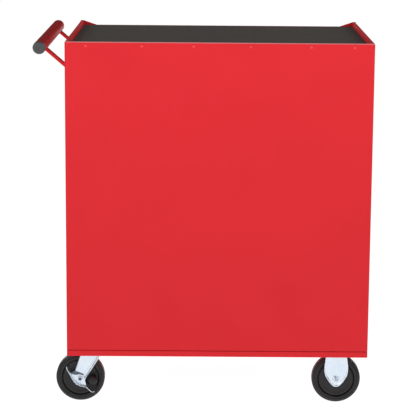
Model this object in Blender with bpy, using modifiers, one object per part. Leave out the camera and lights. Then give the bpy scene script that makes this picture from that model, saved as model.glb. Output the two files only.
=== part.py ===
"""Rolling tool chest: a five-drawer sheet-steel cabinet on four casters, with a side push handle.

Metres, +Z up. The drawers open towards -Y, the handle is on the +X side, and the casters roll along X.
The origin is under the middle of the whole chest, on the floor.
"""

import math

import bmesh
import bpy
from mathutils import Matrix

# ---------------------------------------------------------------- driving dimensions
CABINET_WIDTH = 0.762
CABINET_DEPTH = 0.559
CABINET_HEIGHT = 0.799          # lower skirt edge to top rim
SKIRT_Z = 0.137                 # lower skirt edge above the floor
SKIRT_HEIGHT = 0.016
SHEET = 0.0012
FRAME_SHEET = 0.0015
GAP = 0.0003                    # between pieces that touch on the real chest
RIM_WIDTH = 0.007
TRAY_DEPTH = 0.0158
MAT_THICKNESS = 0.003
EAR_LENGTH = 0.044
STILE_WIDTH = 0.0165
TOP_RAIL_HEIGHT = 0.050
BOTTOM_RAIL_HEIGHT = 0.020
FRAME_RETURN = 0.015

DRAWER_HEIGHTS = (0.248, 0.152, 0.092, 0.092, 0.092)     # from the lowest up
DRAWER_GAP = 0.004
DRAWER_SIDE_GAP = 0.002
DRAWER_BOX_HALF = 0.349
DRAWER_BOX_LENGTH = 0.515
DRAWER_BOX_LIFT = 0.006         # box floor above the front's lower edge
DRAWER_BOX_DROP = 0.018         # box walls below the front's upper edge
SLIDE_LENGTH = 0.505
SLIDE_HEIGHT = 0.045
SLIDE_WIDTH = 0.015
SLIDE_LIFT = 0.004              # slide above the box floor
SLIDE_PLAY = 0.002              # slide end behind the frame's returns
SLIDE_FEET = (0.060, 0.440)     # bracket feet from the cabinet front
SLIDE_FOOT_LENGTH = 0.024
SLIDE_FOOT_HALF = 0.014
PULL_REACH = 0.018
PULL_HEIGHT = 0.024
PULL_WALL = 0.0016
PULL_LIP = 0.015                # lip's lower edge under the pull's top
PULL_CORNER = 0.003

HANDLE_RADIUS = 0.016
HANDLE_WALL = 0.0015
HANDLE_OUT = 0.0625             # tube centre beyond the cabinet side
HANDLE_DROP = 0.0160            # tube centre below the top rim
HANDLE_CAP = 0.007
ARM_INSET = 0.072               # arm centre from the front and rear faces
ARM_WIDTH = 0.024
ARM_THICKNESS = 0.0068
ARM_SLOPE = math.radians(40.7)
ARM_FOOT_HEIGHT = 0.046
ARM_FOOT = 0.002

WHEEL_RADIUS = 0.0625
WHEEL_WIDTH = 0.032
AXLE_RADIUS = 0.004
AXLE_PLAY = 0.0004
BOLT_HEAD_RADIUS = 0.0075
BOLT_HEAD = 0.0050
NUT = 0.0070
CASTER_INSET_Y = 0.073          # wheel plane from the front and rear faces
SWIVEL_WHEEL_INSET_X = 0.0295   # wheel centre from the handle side
SWIVEL_LEAD = 0.038             # axle from the swivel axis
RIGID_INSET_X = 0.074           # wheel centre from the other side
CASTER_TOP_Z = 0.159            # underside of the base pan
CROWN_DROP = 0.022              # crown of the swivel fork under the caster's top
FORK_SHEET = 0.003
FORK_CLEARANCE = 0.0022
BRAKE_SHEET = 0.002
BRAKE_RIM = 0.009               # depth of the rocker's rim
BRAKE_PAD = (-0.0330, -0.0040)  # from the axle, X and Z
BRAKE_PAD_RADIUS = 0.0115
BRAKE_PAD_DEPTH = 0.014
PLATE_X = 0.092
PLATE_Y = 0.067
PLATE_SHEET = 0.0025

LOCK_INSET_X = 0.060
LOCK_BARREL_RADIUS = 0.0095
LOCK_BEZEL_RADIUS = 0.0125
LOCK_BORE = 0.0060
LOCK_PLUG_RADIUS = 0.0055
LOCK_DEPTH = 0.022

# ---------------------------------------------------------------- worked-out sizes
TOP_Z = SKIRT_Z + CABINET_HEIGHT
PANEL_Z = SKIRT_Z + SKIRT_HEIGHT
HALF_W = CABINET_WIDTH / 2
HALF_D = CABINET_DEPTH / 2
OPENING_HALF = HALF_W - STILE_WIDTH
OPENING_Z0 = PANEL_Z + BOTTOM_RAIL_HEIGHT
MAT_TOP_Z = TOP_Z - TRAY_DEPTH + GAP + MAT_THICKNESS
OPENING_Z1 = MAT_TOP_Z - TOP_RAIL_HEIGHT
HANDLE_X = HALF_W + HANDLE_OUT
HANDLE_Z = TOP_Z - HANDLE_DROP
EXTENT_RIGHT = HANDLE_X + HANDLE_RADIUS
EXTENT_FRONT = HALF_D + PULL_REACH
CENTRE_X = (EXTENT_RIGHT - HALF_W) / 2
CENTRE_Y = (HALF_D - EXTENT_FRONT) / 2
LOCK_X = HALF_W - LOCK_INSET_X
LOCK_Z = (OPENING_Z1 + MAT_TOP_Z) / 2

XZ_PLANE = Matrix.Rotation(math.radians(90), 4, "X")                 # outline x, y -> X, Z
YZ_PLANE = Matrix(((0, 0, 1, 0), (1, 0, 0, 0), (0, 1, 0, 0), (0, 0, 0, 1)))   # outline x, y -> Y, Z
XY_PLANE = Matrix.Identity(4)
ALONG_Y = Matrix.Rotation(math.radians(-90), 4, "X")                 # turned axis Z -> Y
ALONG_Z = Matrix.Identity(4)


# ---------------------------------------------------------------- scene, collections, materials
for old in list(bpy.data.objects):
    bpy.data.objects.remove(old)

PARTS = bpy.data.collections.new("tool_chest")
HELPERS = bpy.data.collections.new("cutters")
for collection in (PARTS, HELPERS):
    bpy.context.scene.collection.children.link(collection)
HELPERS.hide_render = True

CHEST = bpy.data.objects.new("chest_centre", None)
CHEST.location = (-CENTRE_X, -CENTRE_Y, 0)
PARTS.objects.link(CHEST)


def make_material(name, colour, roughness, metallic):
    made = bpy.data.materials.new(name)
    made.use_nodes = True
    shader = made.node_tree.nodes["Principled BSDF"]
    shader.inputs["Base Color"].default_value = (*colour, 1)
    shader.inputs["Roughness"].default_value = roughness
    shader.inputs["Metallic"].default_value = metallic
    made.diffuse_color = (*colour, 1)
    return made


RED_PAINT = make_material("red_paint", (0.70, 0.03, 0.04), 0.35, 0.0)
HANDLE_PAINT = make_material("handle_paint", (0.30, 0.02, 0.025), 0.35, 0.0)
ZINC = make_material("zinc", (0.70, 0.76, 0.80), 0.30, 1.0)
SLIDE_STEEL = make_material("slide_steel", (0.55, 0.56, 0.58), 0.35, 1.0)
ALUMINIUM = make_material("aluminium", (0.62, 0.62, 0.63), 0.30, 1.0)
WHEEL_RUBBER = make_material("wheel_rubber", (0.030, 0.030, 0.032), 0.55, 0.0)
MAT_RUBBER = make_material("mat_rubber", (0.055, 0.050, 0.045), 0.85, 0.0)
CAP_PLASTIC = make_material("cap_plastic", (0.080, 0.080, 0.083), 0.50, 0.0)
CHROME = make_material("chrome", (0.75, 0.75, 0.76), 0.12, 1.0)


# ---------------------------------------------------------------- shape functions
def mesh_from(bm, name, place=None):
    if place is not None:
        bmesh.ops.transform(bm, matrix=place, verts=bm.verts)
    bmesh.ops.recalc_face_normals(bm, faces=bm.faces)
    mesh = bpy.data.meshes.new(name)
    bm.to_mesh(mesh)
    bm.free()
    return mesh


def box(low, high):
    """A box between two corners."""
    bm = bmesh.new()
    bmesh.ops.create_cube(bm, size=1)
    size = [b - a for a, b in zip(low, high)]
    middle = [(a + b) / 2 for a, b in zip(low, high)]
    bmesh.ops.scale(bm, vec=size, verts=bm.verts)
    bmesh.ops.translate(bm, vec=middle, verts=bm.verts)
    return mesh_from(bm, "box")


def evaluated_mesh(obj, place):
    """The mesh that a helper object makes, moved by place; the helper is removed."""
    HELPERS.objects.link(obj)
    bpy.context.view_layer.update()
    graph = bpy.context.evaluated_depsgraph_get()
    found = bpy.data.meshes.new_from_object(obj.evaluated_get(graph))
    bpy.data.objects.remove(obj)
    bm = bmesh.new()
    bm.from_mesh(found)
    bmesh.ops.remove_doubles(bm, verts=bm.verts, dist=1e-6)
    return mesh_from(bm, "shape", place)


def plate(outlines, low, high, plane=XY_PLANE):
    """Flat outlines, the first one cut by the others, filled and extruded from low to high."""
    curve = bpy.data.curves.new("outline", "CURVE")
    curve.dimensions = "2D"
    curve.fill_mode = "BOTH"
    curve.extrude = (high - low) / 2
    for outline in outlines:
        spline = curve.splines.new("POLY")
        spline.points.add(len(outline) - 1)
        for point, (x, y) in zip(spline.points, outline):
            point.co = (x, y, 0, 1)
        spline.use_cyclic_u = True
    lift = Matrix.Translation((0, 0, (high + low) / 2))
    return evaluated_mesh(bpy.data.objects.new("outline", curve), plane @ lift)


def turned(profile, steps, place=ALONG_Z, closed=False):
    """A profile of (radius, height) points, running down the outer side, turned about the axis."""
    bm = bmesh.new()
    made = [bm.verts.new((radius, 0, height)) for radius, height in profile]
    for a, b in zip(made, made[1:]):
        bm.edges.new((a, b))
    if closed:
        bm.edges.new((made[-1], made[0]))
    mesh = bpy.data.meshes.new("profile")
    bm.to_mesh(mesh)
    bm.free()
    obj = bpy.data.objects.new("profile", mesh)
    screw = obj.modifiers.new("Screw", "SCREW")
    screw.steps = screw.render_steps = steps
    screw.use_merge_vertices = True
    screw.merge_threshold = 0.00001
    return evaluated_mesh(obj, place)


def disc(radius, low, high, steps, place=ALONG_Z):
    return turned([(0, high), (radius, high), (radius, low), (0, low)], steps, place)


def ring_shell(rings, thickness, inside, open_front=False):
    """A folded sheet through nested rectangles (half width, front y, rear y, z), the last one filled."""
    bm = bmesh.new()
    corners = []
    for half, front, rear, z in rings:
        spots = ((-half, front), (half, front), (half, rear), (-half, rear))
        corners.append([bm.verts.new((x, y, z)) for x, y in spots])
    for upper, lower in zip(corners, corners[1:]):
        for side in range(1 if open_front else 0, 4):
            after = (side + 1) % 4
            bm.faces.new((upper[side], upper[after], lower[after], lower[side]))
    bm.faces.new(corners[-1])
    bmesh.ops.delete(bm, geom=[v for v in bm.verts if not v.link_faces], context="VERTS")
    mesh = bpy.data.meshes.new("shell")
    bm.to_mesh(mesh)
    bm.free()
    obj = bpy.data.objects.new("shell", mesh)
    wall = obj.modifiers.new("Solidify", "SOLIDIFY")
    wall.thickness = thickness
    wall.offset = 1 if inside else -1
    wall.use_even_offset = True
    return evaluated_mesh(obj, Matrix.Identity(4))


def moved(mesh, x=0.0, y=0.0, z=0.0):
    mesh.transform(Matrix.Translation((x, y, z)))
    return mesh


def arc(cx, cy, radius, start, end, count):
    """Points on a circle from the start angle to the end angle, in degrees."""
    steps = [math.radians(start + (end - start) * i / (count - 1)) for i in range(count)]
    return [(cx + radius * math.cos(a), cy + radius * math.sin(a)) for a in steps]


def rectangle(x0, x1, y0, y1):
    return [(x0, y0), (x1, y0), (x1, y1), (x0, y1)]


def piece(name, mesh, material, at=(0, 0, 0), add=(), cut=()):
    """One named part at a place in the cabinet, with shapes joined to it and cut from it."""
    mesh.name = name
    mesh.materials.clear()
    mesh.materials.append(material)
    obj = bpy.data.objects.new(name, mesh)
    obj.parent = CHEST
    obj.location = at
    PARTS.objects.link(obj)
    for operation, shapes in (("UNION", add), ("DIFFERENCE", cut)):
        for shape in shapes:
            helper = bpy.data.objects.new(name + "_" + operation.lower(), shape)
            helper.parent = CHEST
            helper.location = at
            helper.hide_render = True
            helper.display_type = "WIRE"
            HELPERS.objects.link(helper)
            boolean = obj.modifiers.new(operation.title(), "BOOLEAN")
            boolean.operation = operation
            boolean.object = helper
    mesh.shade_smooth()
    mesh.set_sharp_from_angle(angle=math.radians(35))


# ---------------------------------------------------------------- cabinet shell
def build_panels():
    flange_low = TOP_Z - SHEET
    rear_profile = [
        (HALF_D - SHEET, PANEL_Z), (HALF_D, PANEL_Z), (HALF_D, TOP_Z), (HALF_D - RIM_WIDTH, TOP_Z),
        (HALF_D - RIM_WIDTH, flange_low), (HALF_D - SHEET, flange_low),
    ]
    rear = plate([rear_profile], -HALF_W, HALF_W, YZ_PLANE)
    piece("rear_panel", rear, RED_PAINT)
    front_y = -HALF_D + FRAME_SHEET + GAP
    rear_y = HALF_D - SHEET - GAP
    rim_rear_y = HALF_D - RIM_WIDTH - GAP
    for side, name in ((-1, "side_panel_left"), (1, "side_panel_right")):
        inner = side * (HALF_W - SHEET)
        rim = side * (HALF_W - RIM_WIDTH)
        wall = box(
            (min(inner, side * HALF_W), front_y, PANEL_Z),
            (max(inner, side * HALF_W), rear_y, flange_low),
        )
        flange = box(
            (min(rim, side * HALF_W), front_y, flange_low - SHEET / 2),
            (max(rim, side * HALF_W), rim_rear_y, TOP_Z),
        )
        under = box(
            (min(rim, inner) - SHEET, front_y - SHEET, flange_low - SHEET),
            (max(rim, inner), rear_y + SHEET, flange_low),
        )
        if side < 0:
            moved(under, x=SHEET)
        piece(name, wall, RED_PAINT, add=[flange], cut=[under])


def build_tray():
    wide = HALF_W - SHEET - GAP
    narrow = HALF_W - RIM_WIDTH
    front = -HALF_D + FRAME_SHEET + GAP
    flange_z = TOP_Z - SHEET - GAP
    rear = HALF_D - SHEET - GAP
    floor_z = TOP_Z - TRAY_DEPTH
    rings = [
        (wide, front, rear, flange_z),
        (narrow, front, HALF_D - RIM_WIDTH, flange_z),
        (narrow, front, HALF_D - RIM_WIDTH, floor_z),
    ]
    piece("top_tray", ring_shell(rings, SHEET, False, open_front=True), RED_PAINT)
    mat = box(
        (-narrow + SHEET, front + SHEET, floor_z + GAP),
        (narrow - SHEET, HALF_D - RIM_WIDTH - SHEET, floor_z + GAP + MAT_THICKNESS),
    )
    piece("top_mat", mat, MAT_RUBBER)


def build_base():
    step = 0.006
    rings = [
        (HALF_W, -HALF_D, HALF_D, SKIRT_Z),
        (HALF_W, -HALF_D, HALF_D, PANEL_Z - GAP),
        (HALF_W - step, -HALF_D + step, HALF_D - step, PANEL_Z - GAP),
        (HALF_W - step, -HALF_D + step, HALF_D - step, CASTER_TOP_Z + SHEET),
    ]
    piece("base_pan", ring_shell(rings, SHEET, False), RED_PAINT)


def build_front_frame():
    ear_foot = HALF_W - EAR_LENGTH
    outer = [
        (-HALF_W, PANEL_Z), (HALF_W, PANEL_Z), (HALF_W, TOP_Z), (HALF_W - RIM_WIDTH, TOP_Z),
        (ear_foot, MAT_TOP_Z), (-ear_foot, MAT_TOP_Z), (-HALF_W + RIM_WIDTH, TOP_Z), (-HALF_W, TOP_Z),
    ]
    opening = rectangle(-OPENING_HALF, OPENING_HALF, OPENING_Z0, OPENING_Z1)
    lock_hole = arc(LOCK_X, LOCK_Z, LOCK_BARREL_RADIUS + GAP, 0, 345, 24)
    front = plate([outer, opening, lock_hole], HALF_D - FRAME_SHEET, HALF_D, XZ_PLANE)
    wide = OPENING_HALF + SHEET
    around = rectangle(-wide, wide, OPENING_Z0 - SHEET, OPENING_Z1 + SHEET)
    back = HALF_D - FRAME_SHEET / 2
    returns = plate([around, opening], back - FRAME_RETURN, back, XZ_PLANE)
    piece("front_frame", front, RED_PAINT, add=[returns])


# ---------------------------------------------------------------- drawers and slides
def slide_channel(web, lip, height, low, high):
    """A C channel along Y. The web stands at web and the flanges reach to lip, either way along X."""
    inward = 1 if lip > web else -1
    inner = web + inward * SHEET
    half = height / 2
    outline = [
        (web, -half), (lip, -half), (lip, -half + SHEET), (inner, -half + SHEET),
        (inner, half - SHEET), (lip, half - SHEET), (lip, half), (web, half),
    ]
    return plate([outline], -high, -low, XZ_PLANE)


def build_slides(index, at):
    """The cabinet member with its bracket feet and the drawer member, on either side of a drawer box."""
    half = DRAWER_BOX_HALF
    start = FRAME_SHEET + FRAME_RETURN + SLIDE_PLAY
    for side, name in ((-1, "left"), (1, "right")):
        web = side * (half + SLIDE_WIDTH)
        lip = side * (half + 0.003)
        fixed = slide_channel(web, lip, SLIDE_HEIGHT, start, start + SLIDE_LENGTH)
        wall_x = side * (HALF_W - SHEET - GAP)
        web_inner = web - side * SHEET / 2
        feet = []
        for foot_y in SLIDE_FEET:
            feet.append(box(
                (min(wall_x, web_inner), foot_y, -SLIDE_FOOT_HALF),
                (max(wall_x, web_inner), foot_y + SLIDE_FOOT_LENGTH, SLIDE_FOOT_HALF),
            ))
        piece("slide_outer_%d_%s" % (index, name), fixed, SLIDE_STEEL, at, add=feet)
        web = side * (half + GAP)
        lip = side * (half + 0.0118)
        moving = slide_channel(web, lip, SLIDE_HEIGHT - 0.010, start, start + SLIDE_LENGTH - 0.010)
        piece("slide_inner_%d_%s" % (index, name), moving, SLIDE_STEEL, at)


def build_drawer(index, z0, height):
    half = DRAWER_BOX_HALF
    box_low, box_high = DRAWER_BOX_LIFT, height - DRAWER_BOX_DROP
    rear = FRAME_SHEET + DRAWER_BOX_LENGTH
    at = (0, -HALF_D, z0)
    rings = [
        (half, FRAME_SHEET / 2, rear, box_high),
        (half, FRAME_SHEET / 2, rear, box_low),
    ]
    face_half = OPENING_HALF - DRAWER_SIDE_GAP
    face = box((-face_half, 0, 0), (face_half, FRAME_SHEET, height))
    piece("drawer_box_" + str(index), ring_shell(rings, SHEET, True), RED_PAINT, at, add=[face])

    out, wall, corner = PULL_REACH, PULL_WALL, PULL_CORNER
    pull = [
        (-GAP, -PULL_HEIGHT), (-GAP, 0), (-out + corner, 0), (-out, -corner), (-out, -PULL_LIP),
        (-out + wall, -PULL_LIP), (-out + wall, -corner - wall / 2), (-out + corner + wall / 2, -wall),
        (-GAP - wall, -wall), (-GAP - wall, -PULL_HEIGHT),
    ]
    piece(
        "drawer_pull_" + str(index), plate([pull], -face_half, face_half, YZ_PLANE), ALUMINIUM,
        at=(0, -HALF_D, z0 + height - 0.001),
    )
    build_slides(index, (0, -HALF_D, z0 + box_low + SLIDE_HEIGHT / 2 + SLIDE_LIFT))


def build_drawers():
    z0 = OPENING_Z0 + DRAWER_GAP
    for count, height in enumerate(DRAWER_HEIGHTS):
        build_drawer(len(DRAWER_HEIGHTS) - count, z0, height)
        z0 += height + DRAWER_GAP


def build_lock():
    at = (LOCK_X, -HALF_D, LOCK_Z)
    bezel, barrel = LOCK_BEZEL_RADIUS, LOCK_BARREL_RADIUS
    housing = [
        (LOCK_BORE, 0.0035), (bezel - 0.002, 0.0035), (bezel, 0.0015), (bezel, GAP), (barrel, GAP),
        (barrel, -LOCK_DEPTH), (LOCK_BORE, -LOCK_DEPTH),
    ]
    towards_front = Matrix.Rotation(math.radians(90), 4, "X")
    piece("lock_housing", turned(housing, 24, towards_front, closed=True), CHROME, at)
    plug = disc(LOCK_PLUG_RADIUS, -LOCK_DEPTH - 0.004, 0.0030, 20, towards_front)
    cam_outline = [(0.006, -0.006), (0.006, 0.006), (-0.020, 0.004), (-0.020, -0.004)]
    cam = plate([cam_outline], -LOCK_DEPTH - 0.003, -LOCK_DEPTH - 0.001, XZ_PLANE)
    keyway = box((-0.0006, -0.0040, -0.0034), (0.0006, -0.0018, 0.0034))
    piece("lock_plug", plug, CHROME, at, add=[cam], cut=[keyway])


# ---------------------------------------------------------------- handle
def build_handle():
    ends = HALF_D - HANDLE_CAP - GAP
    at = (HANDLE_X, 0, HANDLE_Z)
    inner = HANDLE_RADIUS - HANDLE_WALL
    tube = [(HANDLE_RADIUS, ends), (HANDLE_RADIUS, -ends), (inner, -ends), (inner, ends)]
    piece("handle_tube", turned(tube, 32, ALONG_Y, closed=True), HANDLE_PAINT, at)
    plug = inner - GAP
    for name, turn in (("rear", ALONG_Y), ("front", ALONG_Y @ Matrix.Rotation(math.pi, 4, "X"))):
        cap = [
            (0, HALF_D), (0.010, HALF_D - 0.0006), (0.0140, HALF_D - 0.0022), (HANDLE_RADIUS, HALF_D - 0.0052),
            (HANDLE_RADIUS, HALF_D - HANDLE_CAP), (plug, HALF_D - HANDLE_CAP),
            (plug, HALF_D - HANDLE_CAP - 0.012), (0, HALF_D - HANDLE_CAP - 0.012),
        ]
        piece("handle_cap_" + name, turned(cap, 32, turn), CAP_PLASTIC, at)
    half_t = ARM_THICKNESS / 2
    reach = HANDLE_OUT - HANDLE_RADIUS * math.cos(ARM_SLOPE) * 0.5
    rise = math.tan(ARM_SLOPE)
    up = half_t / math.cos(ARM_SLOPE)
    foot_x = HALF_W + GAP
    foot_out = foot_x + ARM_FOOT
    axis_z = HANDLE_Z - HANDLE_OUT * rise
    bend = axis_z + (foot_out - HALF_W) * rise
    top_x = HALF_W + reach
    top_z = axis_z + reach * rise
    arm = [
        (foot_x, bend - ARM_FOOT_HEIGHT), (foot_out, bend - ARM_FOOT_HEIGHT), (foot_out, bend - up),
        (top_x, top_z - up), (top_x, top_z + up), (foot_x, bend + up - ARM_FOOT * rise),
    ]
    for name, y in (("rear", HALF_D - ARM_INSET), ("front", -HALF_D + ARM_INSET)):
        bar = plate([arm], -y - ARM_WIDTH / 2, -y + ARM_WIDTH / 2, XZ_PLANE)
        room = disc(HANDLE_RADIUS + GAP, y - ARM_WIDTH, y + ARM_WIDTH, 32, ALONG_Y)
        piece("handle_arm_" + name, bar, HANDLE_PAINT, cut=[moved(room, HANDLE_X, 0, HANDLE_Z)])


# ---------------------------------------------------------------- casters
def wheel_mesh():
    """A tyre with a shallow groove either side of its hub, and a hub boss round the bore."""
    half = WHEEL_WIDTH / 2
    groove = WHEEL_RADIUS * 0.75
    hub_face = half - 0.003
    upper = [
        (AXLE_RADIUS + AXLE_PLAY, half + 0.001), (0.0150, half + 0.001), (0.0165, hub_face),
        (groove - 0.004, hub_face), (groove - 0.002, hub_face - 0.0015), (groove, half - 0.0015),
        (WHEEL_RADIUS - 0.006, half - 0.001), (WHEEL_RADIUS - 0.0015, half - 0.0055),
        (WHEEL_RADIUS, half - 0.011),
    ]
    lower = [(radius, -height) for radius, height in reversed(upper)]
    return turned(upper + lower, 48, ALONG_Y, closed=True)


def axle_pieces(half, washer):
    """A bolt along Y through both legs: a nut past the front leg, a head past the rear one and a washer."""
    seat = half + washer + GAP
    shank = disc(AXLE_RADIUS, -half - NUT - 0.002, seat + 0.001, 20, ALONG_Y)
    head = disc(BOLT_HEAD_RADIUS, seat, seat + BOLT_HEAD, 6, ALONG_Y)
    nut = disc(BOLT_HEAD_RADIUS, -half - NUT, -half - GAP, 6, ALONG_Y)
    return shank, [head, nut]


def leg_pair(outline, half):
    """Two upright legs either side of the wheel, their inner faces at half from its middle."""
    return [plate([outline], y, y + FORK_SHEET, XZ_PLANE) for y in (half, -half - FORK_SHEET)]


def build_rigid_caster(name, x, y):
    """A top plate and two shield-shaped legs that carry the axle, in line with the cabinet."""
    inner = WHEEL_WIDTH / 2 + FORK_CLEARANCE
    outer = inner + FORK_SHEET
    at = (x, y, WHEEL_RADIUS)
    rise = CASTER_TOP_Z - GAP - WHEEL_RADIUS
    flank = [(-0.0250, rise - 0.001), (-0.0262, rise - 0.038), (-0.0308, 0.033)]
    flank += [(-0.0304, 0.017), (-0.0245, 0.002)]
    tip = arc(0, -0.0025, 0.017, 196, 344, 9)
    leg = flank + tip + [(-px, pz) for px, pz in reversed(flank)]
    hole = disc(AXLE_RADIUS + AXLE_PLAY, -outer - 0.01, outer + 0.01, 20, ALONG_Y)
    top_plate = box((-PLATE_X / 2, -PLATE_Y / 2, rise - FORK_SHEET), (PLATE_X / 2, PLATE_Y / 2, rise))
    piece(name + "_fork", top_plate, ZINC, at, add=leg_pair(leg, inner), cut=[hole])
    piece(name + "_wheel", wheel_mesh(), WHEEL_RUBBER, at)
    shank, ends = axle_pieces(outer, 0)
    piece(name + "_axle", shank, ZINC, at, add=ends)


def build_brake(name, at, outer):
    """A stamped rocker on the axle, outside the rear leg: a plate, its rim, and a round foot pad on a neck."""
    low = outer + GAP
    lower_edge = [(0.0350, 0.0320), (0.0326, 0.0230), (0.0257, 0.0117), (0.0200, 0.0003), (0.0146, -0.0085)]
    lower_edge += [(0.0077, -0.0145), (-0.0005, -0.0186), (-0.0089, -0.0207), (-0.0159, -0.0212)]
    lower_edge += [(-0.0215, -0.0278), (-0.0284, -0.0337), (-0.0340, -0.0355)]
    pad_x, pad_z = BRAKE_PAD
    neck = arc(pad_x, pad_z, BRAKE_PAD_RADIUS, 200, -50, 11)
    upper_edge = [(-0.0410, -0.0300)] + neck + [(-0.0160, -0.0120), (-0.0120, 0.0010), (-0.0095, 0.0090)]
    upper_edge += [(0.0137, 0.0095), (0.0240, 0.0130), (0.0310, 0.0230), (0.0338, 0.0322)]
    rim_outer = [(px + 0.0004, pz - 0.0005) for px, pz in lower_edge]
    rim_inner = [(px - 0.0010, pz + 0.0012) for px, pz in lower_edge]
    flat = plate([lower_edge + upper_edge], -low - BRAKE_SHEET, -low, XZ_PLANE)
    rim = plate([rim_outer + rim_inner[::-1]], -low - BRAKE_RIM, -low - 0.001, XZ_PLANE)
    pad = moved(disc(BRAKE_PAD_RADIUS - GAP, low + 0.001, low + BRAKE_PAD_DEPTH, 24, ALONG_Y), pad_x, 0, pad_z)
    hole = disc(AXLE_RADIUS + AXLE_PLAY, low - 0.01, low + 0.03, 20, ALONG_Y)
    piece(name, flat, ZINC, at, add=[rim, pad], cut=[hole])


def build_swivel_plate(name, at, crown_high):
    """The plate under the base pan, with the ball race and the flared king pin the fork hangs on."""
    top = CASTER_TOP_Z - GAP
    plate_low = top - PLATE_SHEET
    crown_low = crown_high - FORK_SHEET
    seat = crown_high + 0.0075
    top_plate = box((-PLATE_X / 2, -PLATE_Y / 2, plate_low), (PLATE_X / 2, PLATE_Y / 2, top))
    race = turned([
        (0, plate_low + 0.001), (0.030, plate_low + 0.001), (0.030, plate_low - 0.003), (0.024, seat),
        (0.0075, seat), (0.0075, crown_low - 0.0006), (0.0125, crown_low - 0.0006),
        (0.0110, crown_low - 0.0032), (0, crown_low - 0.0032),
    ], 32)
    piece(name, top_plate, ZINC, at, add=[race])


def build_swivel_fork(name, at, crown_high, inner, outer):
    """A domed crown round the king pin and two raked legs down to the axle, which trails by SWIVEL_LEAD."""
    bore = 0.0083
    crown_low = crown_high - FORK_SHEET
    crown = turned([
        (bore, crown_high + 0.0068), (0.020, crown_high + 0.0068), (0.031, crown_high + 0.0025),
        (0.036, crown_high), (0.036, crown_low), (bore, crown_low),
    ], 32, closed=True)
    bridge = box((-0.018, -outer, crown_low), (0.034, outer, crown_high))
    pin_hole = disc(bore, crown_low - 0.01, crown_high + 0.02, 32)
    crest = crown_high - GAP - WHEEL_RADIUS
    leg = [(-0.0545, crest), (-0.0500, 0.0560), (-0.0142, -0.0015)]
    leg += arc(0, 0, 0.0145, 200, 350, 9)
    leg += [(0.0130, 0.0205), (0.0010, 0.0560), (-0.0035, crest)]
    legs = [moved(mesh, SWIVEL_LEAD, 0, WHEEL_RADIUS) for mesh in leg_pair(leg, inner)]
    axle_hole = disc(AXLE_RADIUS + AXLE_PLAY, -outer - 0.01, outer + 0.01, 20, ALONG_Y)
    holes = [pin_hole, moved(axle_hole, SWIVEL_LEAD, 0, WHEEL_RADIUS)]
    piece(name, crown, ZINC, at, add=[bridge] + legs, cut=holes)


def build_swivel_caster(name, x, y):
    """Swivel axis at x, y. The wheel trails towards +X and the brake is on the side towards +Y."""
    inner = WHEEL_WIDTH / 2 + FORK_CLEARANCE
    outer = inner + FORK_SHEET
    crown_high = CASTER_TOP_Z - CROWN_DROP
    build_swivel_plate(name + "_plate", (x, y, 0), crown_high)
    build_swivel_fork(name + "_fork", (x, y, 0), crown_high, inner, outer)
    at = (x + SWIVEL_LEAD, y, WHEEL_RADIUS)
    piece(name + "_wheel", wheel_mesh(), WHEEL_RUBBER, at)
    shank, ends = axle_pieces(outer, BRAKE_SHEET + GAP)
    piece(name + "_axle", shank, ZINC, at, add=ends)
    build_brake(name + "_brake", at, outer)


def build_casters():
    swivel_x = HALF_W - SWIVEL_WHEEL_INSET_X - SWIVEL_LEAD
    rigid_x = -HALF_W + RIGID_INSET_X
    for name, y in (("rear", HALF_D - CASTER_INSET_Y), ("front", -HALF_D + CASTER_INSET_Y)):
        build_swivel_caster("swivel_" + name, swivel_x, y)
        build_rigid_caster("rigid_" + name, rigid_x, y)


build_panels()
build_tray()
build_base()
build_front_frame()
build_drawers()
build_lock()
build_handle()
build_casters()
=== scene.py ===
"""Looks of the rolling tool chest: folded sheet panels, drawers, slides, push handle and four casters.

Metres, +Z up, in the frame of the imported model. The drawers open towards -Y and the handle is at +X.
"""
import math

import bmesh
import bpy
from mathutils import Matrix, Vector


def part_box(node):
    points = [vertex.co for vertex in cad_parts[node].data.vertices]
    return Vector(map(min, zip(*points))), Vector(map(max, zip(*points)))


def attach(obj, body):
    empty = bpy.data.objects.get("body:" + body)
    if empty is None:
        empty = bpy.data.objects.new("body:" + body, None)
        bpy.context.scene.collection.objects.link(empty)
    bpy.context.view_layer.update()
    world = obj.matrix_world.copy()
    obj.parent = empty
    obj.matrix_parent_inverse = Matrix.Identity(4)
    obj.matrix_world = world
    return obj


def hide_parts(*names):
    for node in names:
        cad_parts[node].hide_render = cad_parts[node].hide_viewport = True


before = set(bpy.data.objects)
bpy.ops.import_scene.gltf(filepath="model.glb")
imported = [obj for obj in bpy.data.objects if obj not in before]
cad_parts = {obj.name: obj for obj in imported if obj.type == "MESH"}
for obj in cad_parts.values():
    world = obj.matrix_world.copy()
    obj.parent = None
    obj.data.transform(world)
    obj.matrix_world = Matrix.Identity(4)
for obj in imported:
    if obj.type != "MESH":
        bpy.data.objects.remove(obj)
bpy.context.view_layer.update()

# ---------------------------------------------------------------- places, read from the frame
GAP = 0.0003
X0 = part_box("side_panel_left")[0].x
X1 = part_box("side_panel_right")[1].x
Y0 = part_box("front_frame")[0].y
Y1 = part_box("rear_panel")[1].y
SKIRT_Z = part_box("base_pan")[0].z
PANEL_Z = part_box("rear_panel")[0].z
TOP_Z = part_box("rear_panel")[1].z
MAT_LOW, MAT_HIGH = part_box("top_mat")
MIDDLE_X = (X0 + X1) / 2
FACE_X0, FACE_X1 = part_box("drawer_box_1")[0].x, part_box("drawer_box_1")[1].x
CASTER_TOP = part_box("rigid_rear_fork")[1].z
DRAWERS = [i for i in range(1, 100) if f"drawer_box_{i}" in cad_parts]

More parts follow.
